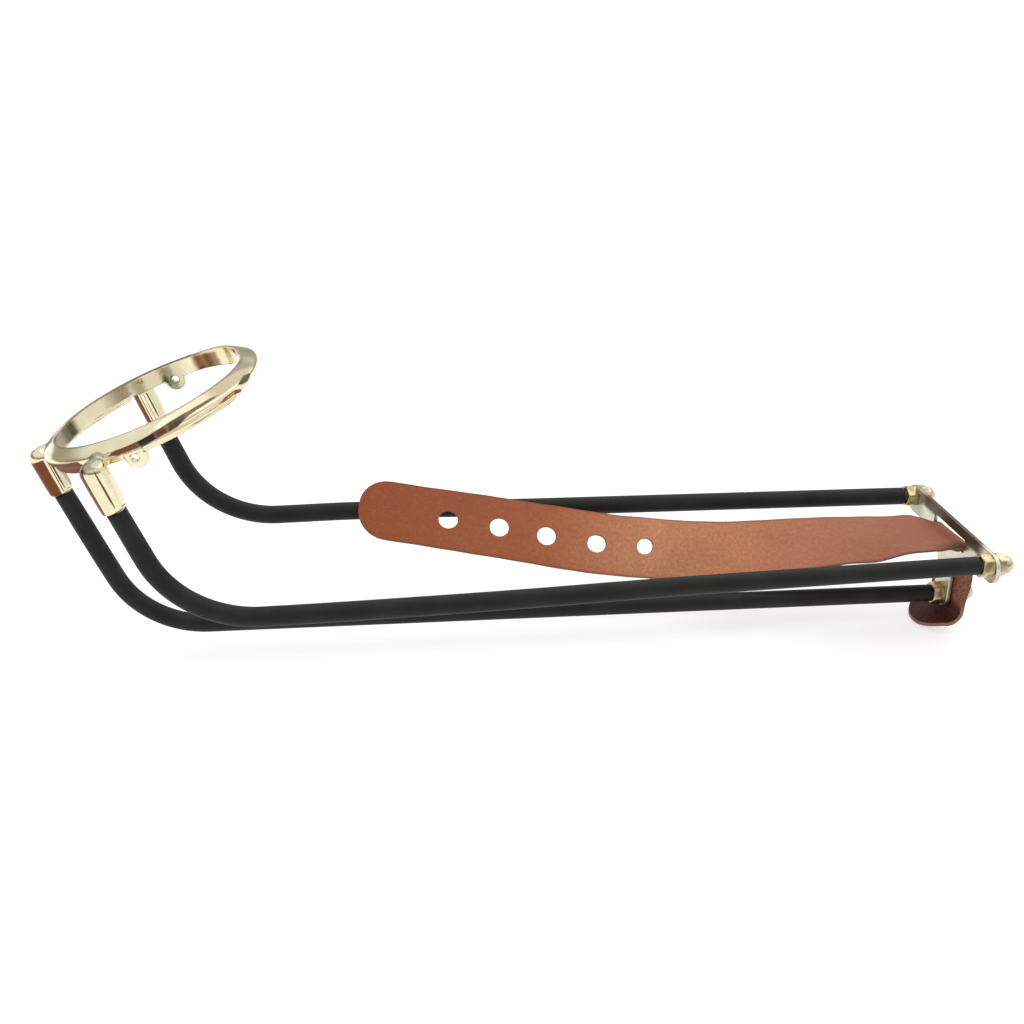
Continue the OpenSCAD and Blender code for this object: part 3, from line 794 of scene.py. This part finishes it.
plain_nut = revolved("nut", hex_rows(NUT_H) + [
    (NUT_FACE, NUT_H - 0.02), (4.7, NUT_H), (NUT_BORE + 0.4, NUT_H), (NUT_BORE, NUT_H - 0.5)],
    yellow_plating)
inside_x = PLATE_X - NUT_H
nuts_on("jam_nuts", plain_nut,
        [(inside_x + set_out(LOW_Z), 0, LOW_Z), (inside_x, SIDE_Y, SIDE_Z),
         (inside_x, -SIDE_Y, SIDE_Z)],
        4, yellow_plating, ("lower_jam_nut", "left_jam_nut", "right_jam_nut"))

# The dome is hollow: its last two rows are the bore's bottom and wall
DOME_R, DOME_H = 4.4, 9.0
straight = DOME_H - DOME_R - 0.2
dome = [(DOME_R * math.cos(a), straight + (DOME_H - straight) * math.sin(a))
        for a in np.radians([0, 10, 20, 30, 40, 50, 60, 70, 78, 85, 89.5])]
dome_nut = revolved("dome", hex_rows(DOME_HEX_H) + [
    (4.75, DOME_HEX_H - 0.02), (4.35, DOME_HEX_H + 0.1), (4.42, DOME_HEX_H + 0.35),
    *dome, (0.02, 7.0), (NUT_BORE, 6.6)], pale_plating)
# The lower one sits on the strap
outside_x, over_strap = PLATE_X + PLATE_T, 6.0
nuts_on("dome_nuts", dome_nut,
        [(outside_x + over_strap + set_out(LOW_Z), 0, LOW_Z), (outside_x, SIDE_Y, SIDE_Z),
         (outside_x, -SIDE_Y, SIDE_Z)],
        11, pale_plating, ("lower_dome_nut", "left_dome_nut", "right_dome_nut"))

# ---------------------------------------------------------------------------
# Strap: one 30 mm strip of 3 mm bridle leather, grain side out, with five punched
# holes. It runs from its rounded tip over the left rail, turns to lie flat in the
# plate's slot, folds down behind the plate and ends as a tongue under it.

STRAP_W, STRAP_T = 30.0, 3.0
HALF_W, HALF_T = STRAP_W / 2, STRAP_T / 2
# From the tip to the first hole, from hole to hole, and the flat run past the last
TIP, PITCH, PAST = 45.0, 24.8, 8.0
# Leather to the plate, the fold's inside radius, and room beside what it only lies on
LAY, FOLD_R, GAP = 0.15, 0.4, 0.3
# How it lies across the left rail, from the plate and from its tip, and its angles
CROSS_FROM_PLATE, CROSS_FROM_TIP = 271, 15
SKEW, LEAN, ARCH = math.radians(11), math.radians(33.2), math.radians(13)
# The thinned end, from the slot on, as a share of the full thickness
THIN = 0.72
hinge = np.array([PLATE_X - GAP - HALF_T, 0, SLOT_BOTTOM + LAY + HALF_T])

_, left_corner, left_end, _ = rail_path(1)
rail = unit(left_end - left_corner)
lean_up = np.array([0, math.sin(LEAN), math.cos(LEAN)])
across = unit(lean_up - rail * (lean_up @ rail))
face = np.cross(rail, across)
tail_way = rail * math.cos(SKEW) - across * math.sin(SKEW)
tail_wide = across * math.cos(SKEW) + rail * math.sin(SKEW)
crossing = (left_corner + rail * (PLATE_X - CROSS_FROM_PLATE - left_corner[0]) / rail[0]
            + face * (SLEEVE_R + GAP + HALF_T))
first_hole = crossing + tail_way * (TIP - CROSS_FROM_TIP)
tip = first_hole - tail_way * TIP
flat_len = TIP + 4 * PITCH + PAST
twist_from = tip + tail_way * flat_len
slot_from = hinge - np.array([HALF_T + GAP + 7, 0, 0])
# The twist between them is one smooth curve, by its direction at each end
span = slot_from[0] - twist_from[0]
from_tail = tail_way * span * 0.6
into_slot = span * 0.5 * np.array([math.cos(ARCH), 0, -math.sin(ARCH)])
x_way, y_way, z_way = np.eye(3)


def swell(s, middle, width):
    """A smooth rise to 1 at a run along the strap."""
    return np.exp(-((s - middle) / width) ** 2)


def eased(share):
    return share * share * (3 - 2 * share)


def strap_route():
    """Stations along the strap: middle, direction of its width and of its grain side."""
    stations = [(tip + tail_way * s, tail_wide, face)
                for s in np.arange(0, flat_len - 0.5, 1.0)]
    for t in np.linspace(0, 1, 110):
        middle = (twist_from * (1 + 2 * t) * (1 - t) ** 2 + from_tail * t * (1 - t) ** 2
                  + slot_from * t * t * (3 - 2 * t) - into_slot * t * t * (1 - t))
        way = unit(twist_from * 6 * t * (t - 1) + from_tail * (1 - t) * (1 - 3 * t)
                   + slot_from * 6 * t * (1 - t) + into_slot * t * (3 * t - 2))
        turned_by = eased(t) ** 1.25
        raw = tail_wide * (1 - turned_by) + y_way * turned_by
        wide = unit(raw - way * (raw @ way))
        stations.append((middle, wide, np.cross(way, wide)))
    out = PLATE_X + PLATE_T + LAY + set_out(SLOT_BOTTOM)
    bend = FOLD_R + HALF_T
    for x in np.linspace(slot_from[0] + 1, out - FOLD_R, 14):
        stations.append((np.array([x, 0, hinge[2]]), y_way, z_way))
    top = np.array([out - FOLD_R, 0, SLOT_BOTTOM + LAY - FOLD_R])
    for a in np.radians(np.linspace(0, 90, 9))[1:]:
        n = x_way * math.sin(a) + z_way * math.cos(a)
        stations.append((top + n * bend, y_way, n))
    # Down behind the plate, round a full fold and forward as the tongue
    low_out, inner = out + set_out(LOW_Z) - set_out(SLOT_BOTTOM) + 1.0, 5.5
    curl = inner + HALF_T * THIN
    below_plate, tongue_len, tongue_sag = 1.9, 14.2, 4.3
    foot = np.array([low_out - inner, 0, LOW_Z - LOBE_R - LAY - below_plate + inner])
    for z in np.linspace(top[2], foot[2], 24)[1:-1]:
        share = (top[2] - z) / (top[2] - foot[2])
        x = out + bend - FOLD_R + (low_out + HALF_T * THIN - out - HALF_T) * share
        stations.append((np.array([x, 0, z]), y_way, x_way))
    for a in np.radians(np.linspace(0, 90, 14)):
        n = x_way * math.cos(a) - z_way * math.sin(a)
        stations.append((foot + n * curl, y_way, n))
    tongue_end = PLATE_X + PLATE_T - tongue_len + set_out(LOW_Z)
    for x in np.linspace(foot[0], tongue_end, 18)[1:]:
        sagged = tongue_sag * ((foot[0] - x) / (foot[0] - tongue_end)) ** 1.7
        stations.append((np.array([x, 0, foot[2] - curl - sagged]), y_way, -z_way))
    middles, wides, grains = (np.array(part) for part in zip(*stations))
    runs = np.r_[0, np.cumsum(np.linalg.norm(np.diff(middles, axis=0), axis=1))]
    return runs, middles, wides, grains


runs, middles, wides, grains = strap_route()
STRAP_LEN = runs[-1]
AT_SLOT = runs[np.argmax(middles[:, 0] > PLATE_X)]


def on_strap(s, t, lift):
    """Places in the part's frame for runs s, offsets t across and lift off the middle.

    The strip was cut and bent by hand, so it strays from its line a little."""
    side, far, near = t / HALF_W, np.clip(t / HALF_W, 0, 1), np.clip(-t / HALF_W, 0, 1)
    past = s - AT_SLOT
    # In its own plane: edges that were cut unevenly, and a bow where it starts to twist
    sway = -1.2 * swell(s, 10, 50) * far - 0.5 * swell(s, 112, 32) * near
    sway = sway + (np.sin(s / 7.3) + np.sin(s / 3.1 + 1)) * 0.05 * side
    sway = sway + 2.2 * swell(s, TIP + 4 * PITCH + 14, 24)
    # Off its plane: slight waves, and a hollow behind the plate
    dished = 0.12 * np.sin(s / 19.0 + 0.7) * np.cos(t / 6.0 + s / 40.0)
    dished = dished * np.clip((STRAP_LEN - 75 - s) / 30, 0, 1)
    dished = dished + 2.2 * swell(past, 20, 10) * side ** 2
    # The far edge stays up before the slot, and lies low in it
    dished = dished + (2.1 * side + 0.5) * swell(past, -14, 11) - 1.3 * side * swell(past, 0, 5)
    dished = dished + 0.5 * far * swell(past, -34, 12)
    # Its near edge rolls down on the way and comes up again beside the slot
    dished = dished + near ** 1.4 * (0.7 * swell(past, -9, 5) - 3.4 * swell(past, -38, 13))
    # Thinned from the slot on, and its near edge pared from beneath on the way there
    lift = lift * (1 - (1 - THIN) * eased(np.clip(past / 12, 0, 1)))
    pared = np.clip((-t - 8) / 7, 0, 1) * np.clip((past + 75) / 25, 0, 1)
    pared = pared * np.clip((-2 - past) / 5, 0, 1)
    lift = np.where(lift < 0, lift * (1 - 1.32 * eased(pared)), lift)
    place, wide, grain = (
        np.stack([np.interp(s, runs, part[:, k]) for k in range(3)], -1)
        for part in (middles, wides, grains))
    wide /= np.linalg.norm(wide, axis=-1, keepdims=True)
    grain /= np.linalg.norm(grain, axis=-1, keepdims=True)
    return place + wide * (t + sway)[..., None] + grain * (lift + dished)[..., None]


def end_inset(t, rounding):
    """How far a rounded end is cut back at an offset t from the middle."""
    over = np.maximum(np.abs(t) - (HALF_W - rounding), 0)
    return rounding - np.sqrt(np.maximum(rounding ** 2 - over ** 2, 0))


ROWS = 16
flat_points, flat_faces = [], []


def patch(grid):
    """Adds a grid of flat places (rows, columns, 2) as four-sided faces."""
    first, (n, m) = len(flat_points), grid.shape[:2]
    flat_points.extend(grid.reshape(-1, 2).tolist())
    for i in range(n - 1):
        for j in range(m - 1):
            a = first + i * m + j
            flat_faces.append((a, a + m, a + m + 1, a + 1))


# Rows lie closer together towards the strap's edges
spread = np.sin(np.linspace(-math.pi / 2, math.pi / 2, ROWS + 1))
t_line = spread * HALF_W
TIP_ROUND, TONGUE_ROUND = 13.5, 14.5
hole_from, hole_to = TIP - PITCH / 2, TIP + 4.5 * PITCH
inset = end_inset(t_line, TIP_ROUND) + 0.5 + np.clip(-t_line / HALF_W, 0, 1) ** 2
share = np.linspace(0, 1, 26)[:, None]
patch(np.stack([inset + share * (hole_from - inset), t_line + 0 * share], 2))
# Each hole in a square of leather: how far it strays along and across, and its radii
square, one = np.linspace(-1, 1, ROWS + 1), np.ones(ROWS + 1)
square_rim = np.concatenate([
    np.stack([square, -one], 1)[:-1], np.stack([one, spread], 1)[:-1],
    np.stack([-square, one], 1)[:-1], np.stack([-one, -spread], 1)])
outer = square_rim * (PITCH / 2, HALF_W)
around = np.arctan2(square_rim[:, 1], square_rim[:, 0])
share = (np.linspace(0, 1, 9) ** 1.3)[:, None, None]
for n, (slid, aside, long, tall) in enumerate((
        (-0.2, -0.3, 4.8, 4.4), (0.5, 0.0, 4.8, 4.6), (-0.5, -0.5, 4.8, 4.5),
        (0.0, -0.5, 4.75, 4.3), (-0.6, 0.6, 4.1, 4.0))):
    inner = np.stack([long * np.cos(around) + slid, tall * np.sin(around) + aside], 1)
    patch(inner + share * (outer - inner) + (TIP + n * PITCH, 0))
last = STRAP_LEN - end_inset(t_line, TONGUE_ROUND)
rest_to = STRAP_LEN - 14
rest = np.unique(np.r_[np.linspace(hole_to, rest_to, 110),
                       runs[(runs > hole_to + 100) & (runs < rest_to)]])
patch(np.stack([rest[:, None] + 0 * t_line, t_line + 0 * rest[:, None]], 2))
share = np.linspace(0, 1, 14)[:, None]
patch(np.stack([rest[-1] + share * (last - rest[-1]), t_line + 0 * share], 2))

# Places that two patches share become one point
flat = np.array(flat_points)
_, keep, same = np.unique(np.round(flat, 3), axis=0, return_index=True, return_inverse=True)
flat, same = flat[keep], same.ravel()
faces = [tuple(dict.fromkeys(int(same[i]) for i in f)) for f in flat_faces]
faces = [f for f in faces if len(f) > 2]
edges = dict.fromkeys((a, b) for f in faces for a, b in zip(f, f[1:] + f[:1]))
rim_edges = [(a, b) for a, b in edges if (b, a) not in edges]
n = len(flat)
s, t = flat.T
grain_side, flesh_side = on_strap(s, t, HALF_T + 0 * s), on_strap(s, t, -HALF_T + 0 * s)
solid_faces = [f[::-1] for f in faces] + [tuple(i + n for i in f) for f in faces]
solid_faces += [(a, b, b + n, a + n) for a, b in rim_edges]

# The pattern follows the strip: along it, aside from its middle, and layer, which is 1
# on the grain side and -1 on the flesh side
leather = new_finish("strap_leather")
where = leather.stored("strip", "Vector")
along, aside, layer = leather.split(where)
stretched = leather.add("ShaderNodeVectorMath", {"operation": "MULTIPLY"},
                        [where, (0.35, 1.0, 1.0)])
fibre = leather.noise(0.7, 4, 0.7, stretched)
hide = leather.noise(1.6, 5, 0.75, where)
blotch = leather.noise(16, 3, 0.55, where)
pores = leather.add("ShaderNodeTexVoronoi", {"feature": "F1"}, {
    "Vector": where, "Scale": 1 / (0.8 * MM)})
scuffs = leather.noise(6, 5, 0.7, stretched)
# Darker towards the tip and towards the slot, palest where it twists over the rail
grain_tone = leather.add("ShaderNodeValToRGB", {"stops": (
    (0.0, (0.325, 0.078, 0.022)), (0.20, (0.385, 0.105, 0.038)), (0.33, (0.44, 0.13, 0.050)),
    (0.50, (0.65, 0.285, 0.145)), (0.64, (0.57, 0.23, 0.115)), (0.82, (0.40, 0.145, 0.072)),
    (1.0, (0.30, 0.095, 0.046)))}, [along * (1 / (AT_SLOT * MM))], output="Color")
# Rubbed at its edges, and a painted shadow on its near edge just before the slot
rubbed_edge = leather.step(abs(aside) + (hide - 0.5) * 0.0008, 13.9 * MM, 14.7 * MM, 0.0, 0.5)
slot_shadow = (leather.step(along + (hide - 0.5) * 0.008, (AT_SLOT - 16) * MM, (AT_SLOT - 4) * MM)
           * leather.step(aside + (hide - 0.5) * 0.004, -14 * MM, -9 * MM, 0.8, 0.0))
for amount, colour in (
        (leather.step(hide, 0.30, 0.70, 0.42, 0.0), (0.19, 0.055, 0.026)),
        (leather.step(fibre, 0.5, 0.8, 0.0, 0.22), (0.66, 0.36, 0.22)),
        (leather.step(blotch, 0.45, 0.75, 0.0, 0.20), (0.24, 0.07, 0.032)),
        (leather.step(scuffs, 0.66, 0.74, 0.0, 0.45), (0.15, 0.05, 0.028)),
        (rubbed_edge, (0.16, 0.06, 0.036)), (slot_shadow, (0.07, 0.02, 0.013))):
    grain_tone = leather.mix(amount, grain_tone, colour)
suede = leather.noise(0.8, 5, 0.8)
on_tongue = leather.step(along, (AT_SLOT + 32) * MM, (AT_SLOT + 38) * MM)
# Painted shade: on the tongue the flesh side is painted almost black, as it lies under the
# plate
flesh_tone = leather.mix(
    leather.step(suede, 0.38, 0.62),
    leather.mix(on_tongue, (0.13, 0.036, 0.02), (0.018, 0.004, 0.002)),
    leather.mix(on_tongue, (0.42, 0.17, 0.105), (0.12, 0.024, 0.010)))
cut_tone = leather.mix(fibre, (0.13, 0.045, 0.026), (0.30, 0.125, 0.078))
cut_tone = leather.mix(on_tongue, cut_tone, (0.36, 0.17, 0.12))
tone = leather.mix(leather.step(layer, 0.3, 0.9), cut_tone, grain_tone)
tone = leather.mix(leather.step(layer, -0.9, -0.3, 1.0, 0.0), tone, flesh_tone)
relief = leather.bump(hide, 0.08, leather.bump(blotch, 0.3))
relief = leather.bump(leather.step(pores, 0.0, 0.5), 0.04, relief)
leather_skin = leather.set(
    Base_Color=tone, Roughness=leather.step(hide, 0.3, 0.7, 0.52, 0.68),
    Specular_IOR_Level=0.3, Normal=leather.bump(fibre, 0.05, relief))
strap = new_piece("leather_strap", np.r_[grain_side, flesh_side], solid_faces, leather_skin)
strip = strap.data.attributes.new("strip", "FLOAT_VECTOR", "POINT")
strip.data.foreach_set("vector", np.r_[np.c_[s * MM, t * MM, np.ones(n)],
                                       np.c_[s * MM, t * MM, -np.ones(n)]].ravel())
round_edges(strap, "edge", 0.4)
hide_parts("strap_anchor", "strap_twist", "strap_tail")
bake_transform(strap)

# ---------------------------------------------------------------------------
# Stage: a plain pale floor under a large soft sky, a little warm and dim low down
# behind the camera and at the left, so that the polished casting has something to
# show. The camera looks down at the near side.

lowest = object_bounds()[0][2]
bpy.ops.mesh.primitive_plane_add(size=120, location=(0.15, 0, lowest - 0.5 * MM))
floor = bpy.context.object
floor.name = "floor"
paper = new_finish("floor_light_table")
floor.data.materials.append(paper.set(
    Base_Color=paper.mix(paper.noise(60, 2), (0.46, 0.46, 0.46), (0.47, 0.47, 0.47)),
    Roughness=0.9, Specular_IOR_Level=0.1,
    Emission_Color=(1, 1, 1), Emission_Strength=0.62))

studio = bpy.data.worlds.new("studio")
bpy.context.scene.world = studio
sky = Finish(studio, "Background", "Generated")
right_of, beyond, rise = sky.split(sky.place)
low_down = sky.step(rise, 0.22, 0.5, 1.0, 0.0)
behind = sky.step(beyond, -0.75, -0.25, 1.0, 0.0)
at_left = sky.step(right_of, -0.95, -0.6, 1.0, 0.0)
dim = behind.math("MAXIMUM", behind, at_left) * low_down
tone = sky.mix(dim, (1.0, 1.0, 1.0), (0.36, 0.33, 0.27))
grey_wall = (sky.step(beyond, 0.3, 0.7) * sky.step(rise, 0.02, 0.05)
             * sky.step(rise, 0.2, 0.42, 1.0, 0.0))
tone = sky.mix(grey_wall, tone, (0.42, 0.40, 0.35))
seen = sky.add("ShaderNodeLightPath", output="Is Camera Ray")
sky.set(Color=sky.mix(seen, tone, (1.07, 1.07, 1.07)), Strength=0.95)

sun = bpy.data.lights.new("overhead", "SUN")
sun.energy, sun.angle = 1.0, math.radians(85)
lamp = linked("overhead", sun)
lamp.rotation_euler = (math.radians(-18), math.radians(14), 0)

lens = bpy.data.cameras.new("camera")
lens.lens, lens.sensor_width, lens.clip_start = 39.22, 36.0, 0.01
camera = linked("camera", lens)
camera_at = np.array([88.97, -458.21, 166.21]) * MM
right, ahead = unit(np.array([0.992, -0.124, 0.025])), np.array([0.123, 0.897, -0.425])
ahead = unit(ahead - right * (ahead @ right))
turn = np.stack([right, np.cross(right, ahead), -ahead], 1)
camera.matrix_world = Matrix(np.r_[np.c_[turn, camera_at], [[0, 0, 0, 1]]].tolist())
bpy.context.scene.camera = camera
bpy.context.scene.view_settings.view_transform = "Standard"
